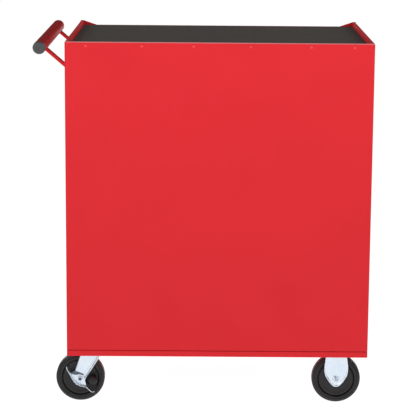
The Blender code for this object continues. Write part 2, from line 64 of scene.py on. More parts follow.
# ---------------------------------------------------------------- sizes of the fine shapes
SHEET = 0.0012
FRAME_SHEET = 0.0015
CORNER = 0.003              # outside radius of a folded vertical corner
BEND = 0.0022               # outside radius of other folds
WRAP = 0.012                # how far the rear sheet and the frame turn onto the sides
RIM = 0.007                 # width of the top rim
SEAM = 0.0009               # open joint between the panels and the skirt
FOLD_HIGHLIGHT_BAND = (0.0022, 0.0006)    # painted highlight along the rear fold: its paler band starts and is full this far under the fold
EAR_LENGTH = 0.044
FRAME_RETURN = 0.015
DRAWER_GAP = 0.004
DRAWER_SIDE_GAP = 0.002
FRONT_RETURN = 0.012        # depth of a drawer front's folded edges
BOX_INSET = 0.0135          # drawer box wall from the end of its front
BOX_LIFT = 0.006
BOX_DROP = 0.018
LINER = 0.0022
MAT_PITCH = 0.0060
LINER_PITCH = 0.0090
RIB_RISE = 0.0007
MAT_END = 0.001             # plain margin at both ends of a mat's ribs
PULL_HEIGHT = 0.024
PULL_LIP = 0.015
PULL_WALL = 0.0016
PULL_CAP = 0.0022
SLIDE_FEET = (0.060, 0.440)
SLIDE_FOOT_LENGTH = 0.024
SCREW_PLACES = (0.3294, 0.1916, 0.0642, -0.0762, -0.2245, -0.3309)    # along X from the middle of the panel
SCREW_DROP = 0.0094
ARM_SLOPE = math.radians(40.7)
ARM_THICKNESS = 0.0068
ARM_FOOT = 0.002
GROOVE_SHARE = 0.75         # ring groove's radius over the wheel's
FORK_SHEET = 0.003
FORK_CLEARANCE = 0.0022
WHEEL_WIDTH = 0.032
CASTER_PLATE = (0.046, 0.0335)      # half sizes along X and Y
CASTER_PLATE_CORNER = 0.007
CASTER_BOLTS = (0.0375, 0.0260)      # from the middle of the plate along X and Y
SWIVEL_PLATE_SHEET = 0.0025
CROWN_DROP = 0.022          # fork crown under the base
AXLE_RADIUS = 0.0040
AXLE_HEAD_RADIUS = 0.0075
AXLE_HEAD_HEIGHT = 0.0062
BRAKE_WASHER = 0.0023
BRAKE_PAD = (-0.0330, -0.0040)
BRAKE_PAD_RADIUS = 0.0115
BEVEL_SEGMENTS = 2
CORNER_STEPS = 6
SHARP_ANGLE = 38            # degrees

# ---------------------------------------------------------------- studio
FLOOR_SIZE = 80
FLOOR_DROP = 0.0005         # floor under the tyres, so the faces do not meet
FLOOR_GLOW = 0.97
SKY_STRENGTH = 3.0
SKY_STOPS = ((0.05, 0.025), (0.91, 0.060), (0.99, 0.10))     # height in the sky, grey
LAMP_SIZE = 1.6
LAMP_SPREAD = 100           # degrees
LAMP_AIM = (0, 0, 1.75)     # above the chest, so the light fades down its faces
LENS = 144.2
SHIFT = (-0.0095, -0.100)
CAMERA_PAN, CAMERA_TILT, CAMERA_ROLL = 0.295, 10.436, 0.462      # degrees
CAMERA_OFFSET = (0.0381, 4.0667, 1.2402)    # from the middle of the rear face's lower edge

XY = Matrix.Identity(4)
XZ = Matrix(((1, 0, 0, 0), (0, 0, 1, 0), (0, 1, 0, 0), (0, 0, 0, 1)))       # outline x, y -> X, Z
YZ = Matrix(((0, 0, 1, 0), (1, 0, 0, 0), (0, 1, 0, 0), (0, 0, 0, 1)))       # outline x, y -> Y, Z
ALONG_Y = Matrix.Rotation(math.radians(-90), 4, "X")
AGAINST_Y = Matrix.Rotation(math.radians(90), 4, "X")
ALONG_Z = Matrix.Identity(4)
AGAINST_Z = Matrix.Rotation(math.radians(180), 4, "X")
ALONG_X = Matrix.Rotation(math.radians(90), 4, "Y")
AGAINST_X = Matrix.Rotation(math.radians(-90), 4, "Y")


# ---------------------------------------------------------------- mesh functions
def take_mesh(bm, place=None):
    if place is not None:
        bmesh.ops.transform(bm, matrix=place, verts=bm.verts)
    bmesh.ops.recalc_face_normals(bm, faces=bm.faces)
    mesh = bpy.data.meshes.new("shape")
    bm.to_mesh(mesh)
    bm.free()
    return mesh


def evaluated(obj, place=None):
    """The mesh of a helper object with its modifiers applied; the helper is removed."""
    bpy.context.scene.collection.objects.link(obj)
    bpy.context.view_layer.update()
    graph = bpy.context.evaluated_depsgraph_get()
    found = bpy.data.meshes.new_from_object(obj.evaluated_get(graph))
    bpy.data.objects.remove(obj)
    bm = bmesh.new()
    bm.from_mesh(found)
    bmesh.ops.remove_doubles(bm, verts=bm.verts, dist=1e-6)
    return take_mesh(bm, place)


def soften(mesh, width=0.0004, angle=40):
    """Rounds every edge sharper than the angle."""
    obj = bpy.data.objects.new("soft", mesh)
    bevel = obj.modifiers.new("Bevel", "BEVEL")
    bevel.width = width
    bevel.segments = BEVEL_SEGMENTS
    bevel.limit_method = "ANGLE"
    bevel.angle_limit = math.radians(angle)
    bevel.miter_outer = "MITER_ARC"
    return evaluated(obj)


def plate(outlines, low, high, plane=XY, soft=0.0004):
    """Flat outlines, the first one cut by the others, filled and extruded from low to high."""
    curve = bpy.data.curves.new("outline", "CURVE")
    curve.dimensions = "2D"
    curve.fill_mode = "BOTH"
    curve.extrude = (high - low) / 2
    for outline in outlines:
        spline = curve.splines.new("POLY")
        spline.points.add(len(outline) - 1)
        for point, spot in zip(spline.points, outline):
            point.co = (spot[0], spot[1], 0, 1)
        spline.use_cyclic_u = True
    lift = Matrix.Translation((0, 0, (high + low) / 2))
    mesh = evaluated(bpy.data.objects.new("outline", curve), plane @ lift)
    return soften(mesh, soft) if soft else mesh


def turned(profile, steps=64, place=ALONG_Z, closed=False):
    """A profile of (radius, height) points, running down the outer side, turned about the axis."""
    bm = bmesh.new()
    made = [bm.verts.new((radius, 0, height)) for radius, height in profile]
    for a, b in zip(made, made[1:]):
        bm.edges.new((a, b))
    if closed:
        bm.edges.new((made[-1], made[0]))
    mesh = bpy.data.meshes.new("profile")
    bm.to_mesh(mesh)
    bm.free()
    obj = bpy.data.objects.new("profile", mesh)
    screw = obj.modifiers.new("Screw", "SCREW")
    screw.steps = screw.render_steps = steps
    screw.use_merge_vertices = True
    screw.merge_threshold = 0.00001
    return evaluated(obj, place)


def wire(points, radius, plane=XY):
    """A round rod along points given in the plane."""
    curve = bpy.data.curves.new("wire", "CURVE")
    curve.dimensions = "3D"
    curve.bevel_depth = radius
    curve.bevel_resolution = 3
    curve.use_fill_caps = True
    spline = curve.splines.new("POLY")
    spline.points.add(len(points) - 1)
    for point, spot in zip(spline.points, points):
        point.co = (*spot, 1) if len(spot) == 3 else (spot[0], spot[1], 0, 1)
    return evaluated(bpy.data.objects.new("wire", curve), plane)


def loft(rings, closed=True, fill=False, thickness=0.0):
    """Faces between rings of points; thickness grows behind the faces' front side."""
    bm = bmesh.new()
    rows = [[bm.verts.new(spot) for spot in ring] for ring in rings]
    count = len(rows[0])
    for upper, lower in zip(rows, rows[1:]):
        for i in range(count if closed else count - 1):
            after = (i + 1) % count
            bm.faces.new((upper[i], upper[after], lower[after], lower[i]))
    if fill:
        bm.faces.new(rows[-1])
    mesh = bpy.data.meshes.new("loft")
    bm.to_mesh(mesh)
    bm.free()
    obj = bpy.data.objects.new("loft", mesh)
    wall = obj.modifiers.new("Solidify", "SOLIDIFY")
    wall.thickness = abs(thickness)
    wall.offset = -1 if thickness > 0 else 1
    wall.use_even_offset = True
    return soften(evaluated(obj), 0.0003, angle=50)


def arc(cx, cy, radius, start, end, count):
    """Points on a circle from the start angle to the end angle, in degrees."""
    steps = [math.radians(start + (end - start) * i / (count - 1)) for i in range(count)]
    return [(cx + radius * math.cos(a), cy + radius * math.sin(a)) for a in steps]


def quarter(radius, steps):
    """How far in and how far along a quarter turn is after each step."""
    turns = [math.radians(90 / steps * i) for i in range(1, steps + 1)]
    return [(radius - radius * math.cos(a), radius * math.sin(a)) for a in turns]


def rounded(x0, x1, y0, y1, radius):
    """A rectangle with round corners, anticlockwise."""
    corners = ((x1, y0, -90), (x1, y1, 0), (x0, y1, 90), (x0, y0, 180))
    points = []
    for x, y, start in corners:
        cx = x - radius if x == x1 else x + radius
        cy = y - radius if y == y1 else y + radius
        points += arc(cx, cy, radius, start, start + 90, CORNER_STEPS)
    return points


def filleted(points, radius, closed=False, steps=5):
    """A path with its corners rounded to the radius, or as near to it as their sides allow."""
    spots = [Vector(p) for p in points]
    if closed:
        spots = [spots[-1]] + spots + [spots[0]]
    path = [] if closed else [spots[0]]
    for before, corner, after in zip(spots, spots[1:], spots[2:]):
        u, v = before - corner, after - corner
        half = u.angle(v) / 2
        reach = min(radius / math.tan(half), 0.48 * u.length, 0.48 * v.length)
        if half > math.radians(88):
            path.append(corner)
            continue
        centre = corner + (u.normalized() + v.normalized()).normalized() * reach / math.cos(half)
        start = corner + u.normalized() * reach - centre
        end = corner + v.normalized() * reach - centre
        size = start.length
        ways = [start.normalized().slerp(end.normalized(), i / steps) for i in range(steps + 1)]
        path += [centre + way * size for way in ways]
    return path if closed else path + [spots[-1]]


def beside(path, distance, closed=False):
    """The path moved to its left by a distance."""
    made = []
    last = len(path) - 1
    for i, spot in enumerate(path):
        before = path[i - 1] if i or closed else path[i]
        after = path[(i + 1) % len(path)] if i < last or closed else path[i]
        one = (Vector(spot) - Vector(before)).normalized()
        two = (Vector(after) - Vector(spot)).normalized()
        way = (one + two).normalized()
        side = Vector((-way.y, way.x))
        share = max(side.dot(Vector((-two.y, two.x)) if two.length else Vector((-one.y, one.x))), 0.4)
        made.append(Vector(spot) + side * distance / share)
    return made


def folded(points, thickness, radius, low, high, plane, soft=0.0003):
    """A bent sheet: its outer face follows the points, and its thickness lies to their left."""
    path = filleted(points, radius)
    return plate([path + beside(path, thickness)[::-1]], low, high, plane, soft)


def pan(x0, x1, y0, y1, radius, profile, plane=XY, thickness=SHEET, fill=True):
    """A pressed pan: round-cornered rings at each (inset, height) of the profile."""
    rings = []
    for inset, height in profile:
        corner = max(radius - inset, 0.0005)
        outline = rounded(x0 + inset, x1 - inset, y0 + inset, y1 - inset, corner)
        rings.append([plane @ Vector((x, y, height)) for x, y in outline])
    return loft(rings, True, fill, thickness)


def three_sides(x0, x1, front, rear, radius, inset):
    """Along the left side, round the two rear corners and back along the right side."""
    corner = max(radius - inset, 0.0005)
    left, right, back = x0 + inset + corner, x1 - inset - corner, rear - inset - corner
    return (
        [(x0 + inset, front)] + arc(left, back, corner, 180, 90, 6)
        + arc(right, back, corner, 90, 0, 6) + [(x1 - inset, front)]
    )


def moved(mesh, x=0.0, y=0.0, z=0.0):
    made = mesh.copy()
    made.transform(Matrix.Translation((x, y, z)))
    return made


def placed(mesh, place, x, y, z):
    """A copy of a mesh turned by a matrix and set at a point."""
    made = mesh.copy()
    made.transform(Matrix.Translation((x, y, z)) @ place)
    return made


def block(x0, x1, y0, y1, z0, z1, soft=0.0006):
    return plate([[(x0, y0), (x1, y0), (x1, y1), (x0, y1)]], z0, z1, XY, soft)


def cut(mesh, cutter):
    obj = bpy.data.objects.new("cut", mesh)
    knife = bpy.data.objects.new("knife", cutter)
    bpy.context.scene.collection.objects.link(knife)
    boolean = obj.modifiers.new("Boolean", "BOOLEAN")
    boolean.operation = "DIFFERENCE"
    boolean.object = knife
    made = evaluated(obj)
    bpy.data.objects.remove(knife)
    return made


def show(name, shapes, material, body, replaces=()):
    """One visible piece from its shapes, riding on a body and standing for the CAD nodes it replaces."""
    bm = bmesh.new()
    for shape in shapes:
        bm.from_mesh(shape)
    mesh = bpy.data.meshes.new(name)
    bm.to_mesh(mesh)
    bm.free()
    mesh.shade_smooth()
    mesh.set_sharp_from_angle(angle=math.radians(SHARP_ANGLE))
    mesh.materials.append(material)
    obj = bpy.data.objects.new(name, mesh)
    bpy.context.scene.collection.objects.link(obj)
    weighted = obj.modifiers.new("WeightedNormal", "WEIGHTED_NORMAL")
    weighted.keep_sharp = True
    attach(obj, body)
    if replaces:
        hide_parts(*replaces)
    return obj


# ---------------------------------------------------------------- materials
class Surface:
    """A Principled material whose colour, roughness and bump come from procedural textures."""

    def __init__(self, name, colour, roughness, metallic=0.0, **values):
        self.material = bpy.data.materials.new(name)
        self.material.use_nodes = True
        self.material.diffuse_color = (*colour, 1)
        self.tree = self.material.node_tree
        self.shader = self.tree.nodes["Principled BSDF"]
        self.shader.inputs["Metallic"].default_value = metallic
        for key, value in values.items():
            self.shader.inputs[key.replace("_", " ").title().replace("Ior", "IOR")].default_value = value
        self.coords = self.tree.nodes.new("ShaderNodeTexCoord").outputs["Object"]
        self.colour = self.rgb(colour)
        self.roughness = None
        self.base_roughness = roughness
        self.height = None

    def rgb(self, colour):
        node = self.tree.nodes.new("ShaderNodeRGB")
        node.outputs[0].default_value = (*colour, 1)
        return node.outputs[0]

    def noise(self, scale, detail=3.0, stretch=(1, 1, 1), distortion=0.0):
        mapping = self.tree.nodes.new("ShaderNodeMapping")
        mapping.inputs["Scale"].default_value = stretch
        self.tree.links.new(self.coords, mapping.inputs["Vector"])
        node = self.tree.nodes.new("ShaderNodeTexNoise")
        node.inputs["Scale"].default_value = scale
        node.inputs["Detail"].default_value = detail
        node.inputs["Distortion"].default_value = distortion
        self.tree.links.new(mapping.outputs["Vector"], node.inputs["Vector"])
        return node.outputs["Fac"]

    def cells(self, scale):
        node = self.tree.nodes.new("ShaderNodeTexVoronoi")
        node.inputs["Scale"].default_value = scale
        self.tree.links.new(self.coords, node.inputs["Vector"])
        return node.outputs["Distance"]

    def span(self, source, low, high, to_low=0.0, to_high=1.0):
        node = self.tree.nodes.new("ShaderNodeMapRange")
        node.inputs["From Min"].default_value = low
        node.inputs["From Max"].default_value = high
        node.inputs["To Min"].default_value = to_low
        node.inputs["To Max"].default_value = to_high
        self.tree.links.new(source, node.inputs["Value"])
        return node.outputs["Result"]

    def tint(self, fac, colour):
        """Mixes another colour in where fac is high."""
        node = self.tree.nodes.new("ShaderNodeMix")
        node.data_type = "RGBA"
        self.tree.links.new(fac, node.inputs[0])
        self.tree.links.new(self.colour, node.inputs[6])
        node.inputs[7].default_value = (*colour, 1)
        self.colour = node.outputs[2]

    def rough(self, fac, low, high):
        self.roughness = self.span(fac, 0.3, 0.7, low, high)

    def bump(self, source, distance, strength=1.0):
        node = self.tree.nodes.new("ShaderNodeBump")
        node.inputs["Strength"].default_value = strength
        node.inputs["Distance"].default_value = distance
        self.tree.links.new(source, node.inputs["Height"])
        if self.height is not None:
            self.tree.links.new(self.height, node.inputs["Normal"])
        self.height = node.outputs["Normal"]

    def done(self):
        self.tree.links.new(self.colour, self.shader.inputs["Base Color"])
        if self.roughness is None:
            self.shader.inputs["Roughness"].default_value = self.base_roughness
        else:
            self.tree.links.new(self.roughness, self.shader.inputs["Roughness"])
        if self.height is not None:
            self.tree.links.new(self.height, self.shader.inputs["Normal"])
        return self.material


def paint(name, colour, deep, light, gloss=0.10, coat=0.02, fold=None):
    """Powder coat: orange peel, a fine fleck, a random drift of tone, and a painted highlight, a paler band
    just under a fold's height.
    """
    made = Surface(name, colour, 0.34, Specular_ior_level=gloss, Coat_weight=coat, Coat_roughness=0.18)
    made.tint(made.span(made.noise(7.0, 2.0), 0.40, 0.75, 0.0, 0.30), deep)
    made.tint(made.span(made.noise(1500.0, 1.0), 0.55, 0.80, 0.0, 0.25), light)
    made.tint(made.span(made.noise(34.0, 6.0, distortion=0.6), 0.60, 0.78, 0.0, 0.14), deep)
    # painted highlight: a paler pink band just under the fold's height stands in for the light the bend
    # catches
    if fold:
        split = made.tree.nodes.new("ShaderNodeSeparateXYZ")
        made.tree.links.new(made.coords, split.inputs["Vector"])
        start, full = (fold - drop for drop in FOLD_HIGHLIGHT_BAND)
        made.tint(made.span(split.outputs["Z"], start, full, 0.0, 0.75), (0.900, 0.420, 0.440))
    made.rough(made.noise(120.0, 4.0), 0.30, 0.42)
    made.bump(made.noise(420.0, 2.0), 0.00009, 0.35)
    made.bump(made.noise(1600.0, 1.0), 0.00004, 0.25)
    return made.done()


def plated(name, colour, cool, warm, roughness=(0.26, 0.42), stretch=(1, 1, 1)):
    """Zinc plate: small crystals, a cool and a warm cast, and fine wipe marks."""
    made = Surface(name, colour, 0.32, 1.0)
    made.tint(made.span(made.noise(28.0, 3.0), 0.42, 0.68, 0.0, 0.75), cool)
    made.tint(made.span(made.noise(61.0, 4.0), 0.60, 0.74, 0.0, 0.50), warm)
    made.tint(made.span(made.cells(420.0), 0.25, 0.75, 0.0, 0.22), cool)
    made.rough(made.noise(160.0, 5.0, stretch), *roughness)
    made.bump(made.noise(700.0, 3.0, stretch), 0.00005, 0.30)
    return made.done()


def brushed(name, colour, light, stretch):
    """Satin metal with long fine brush marks."""
    made = Surface(name, colour, 0.30, 1.0, Anisotropic=0.35)
    grain = made.noise(1.0, 4.0, stretch)
    made.tint(made.span(grain, 0.40, 0.70, 0.0, 0.55), light)
    made.rough(grain, 0.24, 0.40)
    made.bump(grain, 0.00004, 0.30)
    return made.done()


def moulded(name, colour, light, grain, roughness=(0.42, 0.60), dust=0.20):
    """Moulded rubber or plastic: fine grain and a little dust in its colour."""
    made = Surface(name, colour, 0.5, Specular_ior_level=0.38)
    made.tint(made.span(made.noise(26.0, 5.0), 0.50, 0.80, 0.0, dust), light)
    made.tint(made.span(made.noise(grain, 2.0), 0.58, 0.78, 0.0, 0.30), light)
    made.rough(made.noise(90.0, 4.0), *roughness)
    made.bump(made.noise(grain, 3.0), 0.00012, 0.40)
    return made.done()


def matting(name, colour, light):
    """Foam rubber matting with small closed cells."""
    made = Surface(name, colour, 0.85, Specular_ior_level=0.12)
    made.tint(made.span(made.cells(900.0), 0.20, 0.70, 0.0, 0.45), light)
    made.tint(made.span(made.noise(18.0, 6.0), 0.55, 0.80, 0.0, 0.35), light)
    made.rough(made.noise(200.0, 3.0), 0.72, 0.92)
    made.bump(made.cells(900.0), 0.00020, 0.50)
    return made.done()


def polished(name, colour):
    made = Surface(name, colour, 0.12, 1.0)
    made.tint(made.span(made.noise(300.0, 3.0), 0.50, 0.80, 0.0, 0.25), (0.50, 0.50, 0.52))
    made.rough(made.noise(240.0, 5.0, (1, 1, 6)), 0.06, 0.16)
    made.bump(made.noise(900.0, 2.0), 0.00002, 0.15)
    return made.done()


RED_TONES = ((0.760, 0.024, 0.032), (0.660, 0.020, 0.027), (0.850, 0.060, 0.070))
# the push bar's red is a darker copy of the body's red: painted shade on the tube
HANDLE_SHADE_TONES = ((0.420, 0.005, 0.006), (0.300, 0.004, 0.005), (0.500, 0.020, 0.022))
# the screw heads' paler red is a painted highlight, standing in for the light their domes catch
SCREW_HIGHLIGHT_TONES = ((0.900, 0.090, 0.100), (0.820, 0.060, 0.070), (0.940, 0.240, 0.250))
SLIDE_TONES = ((0.62, 0.64, 0.66), (0.52, 0.56, 0.61), (0.70, 0.68, 0.62))
RED = paint("red_powder_coat", *RED_TONES)
# the rear sheet's red carries a painted highlight along its top fold
REAR_RED_HIGHLIGHTED = paint("rear_powder_coat_painted_highlight", *RED_TONES, fold=TOP_Z)
HANDLE_SHADED_RED = paint("handle_powder_coat_painted_shade", *HANDLE_SHADE_TONES, gloss=0.05, coat=0.0)
SCREW_HIGHLIGHT_RED = paint("screw_heads_painted_highlight", *SCREW_HIGHLIGHT_TONES)
ZINC = plated("bright_zinc", (0.77, 0.86, 0.93), (0.70, 0.82, 0.94), (0.88, 0.90, 0.88))
SLIDE = plated("slide_zinc", *SLIDE_TONES, (0.24, 0.40), (6, 1, 6))
# dark steel for pieces that are painted shade: the strip on the swivel leg and the swivel's axle end
DARK_STEEL_SHADE = plated("blued_steel_painted_shade", (0.12, 0.15, 0.19), (0.08, 0.11, 0.16), (0.16, 0.16, 0.17))
ALUMINIUM = brushed("satin_aluminium", (0.66, 0.66, 0.67), (0.80, 0.80, 0.81), (6, 900, 900))
RUBBER = moulded("tyre_rubber", (0.012, 0.012, 0.013), (0.050, 0.049, 0.048), 900.0, (0.34, 0.50))
HUB = moulded("hub_plastic", (0.011, 0.010, 0.010), (0.040, 0.037, 0.035), 1300.0, (0.30, 0.46), 0.12)
# the pad's neck is blacker than the pad: painted shade around the foot pad
STEM_SHADE = moulded("stem_plastic_painted_shade", (0.004, 0.004, 0.004), (0.012, 0.012, 0.012), 1300.0, (0.55, 0.70), 0.10)
CAP = moulded("cap_plastic", (0.060, 0.060, 0.063), (0.150, 0.148, 0.152), 420.0, (0.36, 0.55), 0.45)
MATTING = matting("rubber_matting", (0.088, 0.077, 0.068), (0.150, 0.134, 0.119))
CHROME = polished("polished_chrome", (0.78, 0.78, 0.80))


# ---------------------------------------------------------------- small fastenings
def pan_head(radius, height):
    """A domed screw head with a cross recess, along Z, standing on z = 0."""
    dome = [(0, height), (radius * 0.45, height * 0.94), (radius * 0.80, height * 0.66)]
    dome += [(radius * 0.97, height * 0.30), (radius, 0), (0, 0)]
    head = turned(dome, 24)
    width, length, depth = radius * 0.13, radius * 0.58, height * 0.45
    for arm in ((length, width), (width, length)):
        slot_box = plate([[(-arm[0], -arm[1]), (arm[0], -arm[1]), (arm[0], arm[1]), (-arm[0], arm[1])]],
                         height - depth, height * 1.5, XY, 0)
        head = cut(head, slot_box)
    return head


def rivet_head(radius, height):
    dome = [(0, height), (radius * 0.55, height * 0.90), (radius * 0.88, height * 0.50), (radius, 0), (0, 0)]
    return turned(dome, 20)


def hex_head(radius, height):
    """A hexagon with a turned-down top, along Z, on a washer."""
    outline = arc(0, 0, radius, 0, 300, 6)
    head = plate([outline], 0.0010, height, XY, 0.0006)
    boss = turned([(0, height + 0.0004), (radius * 0.62, height + 0.0004), (radius * 0.74, height - 0.0004),
                   (0, height - 0.0004)], 24)
    rim = radius * 1.25
    washer = turned([(0, 0.0012), (radius * 1.18, 0.0012), (rim, 0.0009), (rim, 0), (0, 0)], 32)
    return [head, boss, washer]


SCREW = pan_head(0.0034, 0.0020)
BIG_SCREW = pan_head(0.0046, 0.0028)
RIVET = rivet_head(0.0030, 0.0011)
CASTER_BOLT = hex_head(0.0065, 0.0055)


# ---------------------------------------------------------------- cabinet
def make_shell():
    low = PANEL_Z
    rear = [(0.0014, low), (0.0004, low + 0.0004), (0, low + 0.0014), (0, TOP_Z - 0.20)]
    rear += [(BEND - px, pz) for px, pz in arc(0, TOP_Z - BEND, BEND, 0, 90, 7)]
    rear += [(RIM - 0.0002, TOP_Z), (RIM, TOP_Z - 0.0002)]
    rings = [
        [(x, y, z) for x, y in three_sides(X0, X1, Y1 - WRAP, Y1, CORNER, inset)] for inset, z in rear
    ]
    show("rear_sheet", [loft(rings, False, False, -SHEET)], REAR_RED_HIGHLIGHTED, "cabinet", ["rear_panel"])

    y_front, y_rear = Y0 + WRAP + GAP, Y1 - WRAP - GAP
    for name, x, side in (("left", X0, 1), ("right", X1, -1)):
        fold = [(x + side * 0.006, low), (x, low), (x, TOP_Z), (x + side * RIM, TOP_Z)]
        wall = folded(fold, -side * SHEET, BEND, y_front, y_rear, XZ)
        show(f"side_sheet_{name}", [wall], RED, "cabinet", [f"side_panel_{name}"])

    screws = [
        placed(SCREW, ALONG_Y, MIDDLE_X + x, Y1, TOP_Z - SCREW_DROP) for x in SCREW_PLACES
    ]
    show("rear_panel_screws", screws, SCREW_HIGHLIGHT_RED, "cabinet")
    rivets = []
    for i in DRAWERS:
        for side in ("left", "right"):
            place, x = (AGAINST_X, X0) if side == "left" else (ALONG_X, X1)
            slide_low, slide_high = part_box(f"slide_outer_{i}_{side}")
            for foot in SLIDE_FEET:
                y = Y0 + foot + SLIDE_FOOT_LENGTH / 2
                rivets.append(placed(RIVET, place, x, y, (slide_low.z + slide_high.z) / 2))
    show("side_rivets", rivets, RED, "cabinet")


def make_front_frame():
    z_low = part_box(f"drawer_box_{DRAWERS[-1]}")[0].z - DRAWER_GAP
    z_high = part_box(f"drawer_box_{DRAWERS[0]}")[1].z + DRAWER_GAP
    x_low, x_high = FACE_X0 - DRAWER_SIDE_GAP, FACE_X1 + DRAWER_SIDE_GAP
    inner = 0.0018
    half = (X1 - X0) / 2 - CORNER
    foot = (X1 - X0) / 2 - EAR_LENGTH
    level = MAT_HIGH.z
    outer = [
        (-half, PANEL_Z), (half, PANEL_Z), (half, TOP_Z), (half - RIM + CORNER, TOP_Z), (foot, level),
        (-foot, level), (-half + RIM - CORNER, TOP_Z), (-half, TOP_Z),
    ]
    outer = [(MIDDLE_X + x, z) for x, z in outer]
    opening = rounded(x_low - inner, x_high + inner, z_low - inner, z_high + inner, 0.003)
    lock_low, lock_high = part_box("lock_housing")
    lock_x, lock_z = (lock_low.x + lock_high.x) / 2, (lock_low.z + lock_high.z) / 2
    lock_hole = arc(lock_x, lock_z, 0.0098, 0, 345, 24)
    face = plate([outer, opening, lock_hole], Y0, Y0 + FRAME_SHEET, XZ, 0.0004)
    turn = [(-inner + inner * math.sin(a), Y0 + inner * (1 - math.cos(a)))
            for a in (math.radians(15 * i) for i in range(7))]
    lip = pan(x_low, x_high, z_low, z_high, 0.003, turn + [(0, Y0 + FRAME_RETURN)], XZ, SHEET, False)
    shapes = [face, lip]
    for x, side in ((X0, 1), (X1, -1)):
        path = [(x + side * (CORNER + 0.0012), Y0), (x, Y0), (x, Y0 + WRAP)]
        shapes.append(folded(path, side * FRAME_SHEET * -1, CORNER, PANEL_Z, TOP_Z, XY))
    show("front_face_frame", shapes, RED, "cabinet", ["front_frame"])


def make_tray_and_mat():
    floor = MAT_LOW.z - GAP
    x0, x1, front, rear = X0 + RIM, X1 - RIM, Y0 + FRAME_SHEET + GAP, Y1 - RIM
    flange = TOP_Z - SHEET - GAP
    profile = [(-0.004, flange), (-0.0012, flange), (-0.0003, flange - 0.0003), (0, flange - 0.0012)]
    profile += [(0, floor + 0.003)] + [(step, floor + 0.003 - drop) for step, drop in quarter(0.003, 5)]
    rings = [
        [(x, y, z) for x, y in three_sides(x0, x1, front, rear, 0.005, inset)] for inset, z in profile
    ]
    show("sunk_tray", [loft(rings, False, True, SHEET)], RED, "cabinet", ["top_tray"])
    show("ribbed_mat", [ribbed(MAT_LOW, MAT_HIGH, MAT_PITCH)], MATTING, "cabinet", ["top_mat"])


def ribbed(low, high, pitch):
    """A mat between two corners, its top in round ribs along X."""
    count = int((high.y - low.y) / pitch)
    step = (high.y - low.y) / count
    top = []
    for i in range(count):
        for share in (0.0, 0.12, 0.32, 0.50, 0.68, 0.88):
            lift = RIB_RISE * (1 - abs(2 * share - 1) ** 3) if share else 0.0
            top.append((low.y + (i + share) * step, high.z - RIB_RISE + lift))
    top.append((high.y, high.z - RIB_RISE))
    outline = [(low.y, low.z), (high.y, low.z)] + top[::-1]
    return plate([outline], low.x + MAT_END, high.x - MAT_END, YZ, 0)


def make_base():
    step = 0.006
    floor = CASTER_TOP + GAP
    hem = [(0.0032, SKIRT_Z + 0.0060), (0.0032, SKIRT_Z + 0.0018)]
    hem += [(0.0016 - px, pz) for px, pz in arc(0, SKIRT_Z + 0.0016, 0.0016, 180, 360, 8)]
    top = PANEL_Z - SEAM
    profile = hem + [(0, top - 0.0015), (0.0004, top - 0.0004), (0.0015, top), (step, top)]
    profile += [(step, floor + 0.001), (step + 0.002, floor)]
    skirt = pan(X0, X1, Y0, Y1, CORNER, profile, XY, SHEET)
    show("base_skirt", [skirt], RED, "cabinet", ["base_pan"])


# ---------------------------------------------------------------- drawers
def make_drawer(index):
    body = f"drawer_{index}"
    node = f"drawer_box_{index}"
    low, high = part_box(node)
    r = 0.0020
    turn = [(0, Y0 + FRONT_RETURN), (0, Y0 + r)]
    turn += [(step, Y0 + r - drop) for step, drop in quarter(r, 5)]
    front = pan(low.x, high.x, low.z, high.z, 0.003, turn, XZ, -0.0010)
    x0, x1 = low.x + BOX_INSET, high.x - BOX_INSET
    z0, z1 = low.z + BOX_LIFT, high.z - BOX_DROP
    hem = [(0.0030, z1 - 0.0060), (0.0030, z1 - 0.0016)]
    hem += [(0.0015 - px, pz) for px, pz in arc(0, z1 - 0.0015, 0.0015, 180, 0, 7)]
    hem += [(0, z0 + 0.004)] + [(step, z0 + 0.004 - drop) for step, drop in quarter(0.004, 4)]
    box_shell = pan(x0, x1, Y0 + 0.0022, high.y, 0.005, hem, XY, 0.0010)
    show(f"drawer_shell_{index}", [front, box_shell], RED, body, [node])
    liner_low = Vector((x0 + 0.004, Y0 + 0.0070, z0 + 0.0014))
    liner_high = Vector((x1 - 0.004, high.y - 0.004, z0 + 0.0014 + LINER))
    liner = ribbed(liner_low, liner_high, LINER_PITCH)
    show(f"drawer_liner_{index}", [liner], MATTING, body)
    make_pull(index, body)


def make_pull(index, body):
    node = f"drawer_pull_{index}"
    low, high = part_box(node)
    face, top, reach = high.y, high.z, low.y
    path = [(face, top - PULL_HEIGHT), (face, top), (reach, top), (reach, top - PULL_LIP)]
    x0, x1 = low.x + PULL_CAP, high.x - PULL_CAP
    shapes = [folded(path, PULL_WALL, 0.0028, x0, x1, YZ)]
    for drop in (0.0052, 0.0078, 0.0104):
        shapes.append(wire([(x, reach + 0.0003, top - drop) for x in (x0, x1)], 0.0007))
    shapes.append(wire([(x, reach + 0.0009, top - PULL_LIP) for x in (x0, x1)], 0.0011))
    show(f"pull_bar_{index}", shapes, ALUMINIUM, body, [node])
    cover = filleted([
        (face, top - PULL_HEIGHT), (face, top), (reach, top), (reach, top - PULL_LIP - 0.001),
        (reach + 0.004, top - PULL_LIP - 0.001),
    ], 0.0030, closed=True)
    caps = [plate([cover], x, x + PULL_CAP, YZ, 0.0005) for x in (low.x, high.x - PULL_CAP)]
    show(f"pull_caps_{index}", caps, CAP, body)


